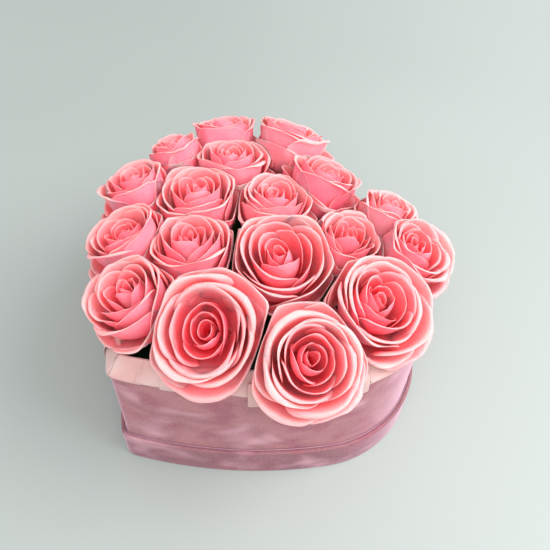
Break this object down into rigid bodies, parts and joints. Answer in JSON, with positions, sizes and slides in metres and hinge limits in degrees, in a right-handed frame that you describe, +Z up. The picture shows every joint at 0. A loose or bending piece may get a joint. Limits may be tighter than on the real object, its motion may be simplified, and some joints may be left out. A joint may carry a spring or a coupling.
{
  "type": "flower box",
  "caption": "Heart-shaped velvet flower box standing in its upturned lid, packed with open roses whose stems are pushed into wet floral foam, with a ribbon collar inside the rim.",
  "frame": {"origin": "on the underside of the lid, at the middle of the heart", "axes": "+Z up, the tip of the heart towards -Y and its notch towards +Y"},
  "size_m": [0.2948, 0.2874, 0.1992],
  "materials": {
    "velvet": "crushed velvet, dusty pink with a mauve sheen",
    "grey_board": "matt grey board",
    "lining_paper": "matt white lining paper",
    "clear_film": "clear waterproof film",
    "wet_foam": "wet green floral foam, fine open cells",
    "ribbon": "pale pink satin ribbon",
    "petals": "soft rose petals, coral pink with pale edges",
    "rose_green": "green stems and sepals"
  },
  "bodies": {
    "lid": {"lid_cover": "velvet", "lid_rim_board": "grey_board", "lid_panel_board": "grey_board", "lid_rim_lining": "lining_paper", "lid_panel_lining": "lining_paper"},
    "box": {"wall_cover": "velvet", "wall_board": "grey_board", "wall_lining": "lining_paper", "base_cover": "lining_paper", "base_board": "grey_board", "base_lining": "lining_paper", "film_liner": "clear_film", "foam_block": "wet_foam", "collar_strip": "ribbon", "collar_pleats": "ribbon", "collar_ends": "ribbon"},
    "rose_01": {"bloom_01": "petals", "stem_01": "rose_green"},
    "rose_02": {"bloom_02": "petals", "stem_02": "rose_green"},
    "rose_03": {"bloom_03": "petals", "stem_03": "rose_green"},
    "rose_04": {"bloom_04": "petals", "stem_04": "rose_green"},
    "rose_05": {"bloom_05": "petals", "stem_05": "rose_green"},
    "rose_06": {"bloom_06": "petals", "stem_06": "rose_green"},
    "rose_07": {"bloom_07": "petals", "stem_07": "rose_green"},
    "rose_08": {"bloom_08": "petals", "stem_08": "rose_green"},
    "rose_09": {"bloom_09": "petals", "stem_09": "rose_green"},
    "rose_10": {"bloom_10": "petals", "stem_10": "rose_green"},
    "rose_11": {"bloom_11": "petals", "stem_11": "rose_green"},
    "rose_12": {"bloom_12": "petals", "stem_12": "rose_green"},
    "rose_13": {"bloom_13": "petals", "stem_13": "rose_green"},
    "rose_14": {"bloom_14": "petals", "stem_14": "rose_green"},
    "rose_15": {"bloom_15": "petals", "stem_15": "rose_green"},
    "rose_16": {"bloom_16": "petals", "stem_16": "rose_green"},
    "rose_17": {"bloom_17": "petals", "stem_17": "rose_green"},
    "rose_18": {"bloom_18": "petals", "stem_18": "rose_green"}
  },
  "joints": [
    {"name": "box_lift", "type": "slide", "parent": "lid", "child": "box", "axis": [0, 0, 1], "range_m": [0, 0.045]},
    {"name": "rose_01_draw", "type": "slide", "parent": "box", "child": "rose_01", "axis": [-0.3545, 0.1018, 0.9295], "range_m": [0, 0.06]},
    {"name": "rose_02_draw", "type": "slide", "parent": "box", "child": "rose_02", "axis": [-0.3363, 0.24, 0.9107], "range_m": [0, 0.06]},
    {"name": "rose_03_draw", "type": "slide", "parent": "box", "child": "rose_03", "axis": [-0.2194, 0.3425, 0.9135], "range_m": [0, 0.06]},
    {"name": "rose_04_draw", "type": "slide", "parent": "box", "child": "rose_04", "axis": [-0.2537, 0.1867, 0.9491], "range_m": [0, 0.06]},
    {"name": "rose_05_draw", "type": "slide", "parent": "box", "child": "rose_05", "axis": [-0.0389, 0.2871, 0.9571], "range_m": [0, 0.06]},
    {"name": "rose_06_draw", "type": "slide", "parent": "box", "child": "rose_06", "axis": [-0.3205, -0.0623, 0.9452], "range_m": [0, 0.06]},
    {"name": "rose_07_draw", "type": "slide", "parent": "box", "child": "rose_07", "axis": [-0.2152, 0.0305, 0.9761], "range_m": [0, 0.06]},
    {"name": "rose_08_draw", "type": "slide", "parent": "box", "child": "rose_08", "axis": [-0.0572, 0.1629, 0.985], "range_m": [0, 0.06]},
    {"name": "rose_09_draw", "type": "slide", "parent": "box", "child": "rose_09", "axis": [0.1619, 0.3355, 0.928], "range_m": [0, 0.06]},
    {"name": "rose_10_draw", "type": "slide", "parent": "box", "child": "rose_10", "axis": [0.1565, 0.221, 0.9626], "range_m": [0, 0.06]},
    {"name": "rose_11_draw", "type": "slide", "parent": "box", "child": "rose_11", "axis": [0.2552, 0.3005, 0.919], "range_m": [0, 0.06]},
    {"name": "rose_12_draw", "type": "slide", "parent": "box", "child": "rose_12", "axis": [-0.1819, -0.1778, 0.9671], "range_m": [0, 0.06]},
    {"name": "rose_13_draw", "type": "slide", "parent": "box", "child": "rose_13", "axis": [-0.0778, -0.1116, 0.9907], "range_m": [0, 0.06]},
    {"name": "rose_14_draw", "type": "slide", "parent": "box", "child": "rose_14", "axis": [0.0877, 0.0704, 0.9937], "range_m": [0, 0.06]},
    {"name": "rose_15_draw", "type": "slide", "parent": "box", "child": "rose_15", "axis": [-0.0456, -0.2626, 0.9638], "range_m": [0, 0.06]},
    {"name": "rose_16_draw", "type": "slide", "parent": "box", "child": "rose_16", "axis": [0.0962, -0.1785, 0.9792], "range_m": [0, 0.06]},
    {"name": "rose_17_draw", "type": "slide", "parent": "box", "child": "rose_17", "axis": [0.3026, -0.0696, 0.9506], "range_m": [0, 0.06]},
    {"name": "rose_18_draw", "type": "slide", "parent": "box", "child": "rose_18", "axis": [0.3102, 0.1396, 0.9404], "range_m": [0, 0.06]}
  ]
}
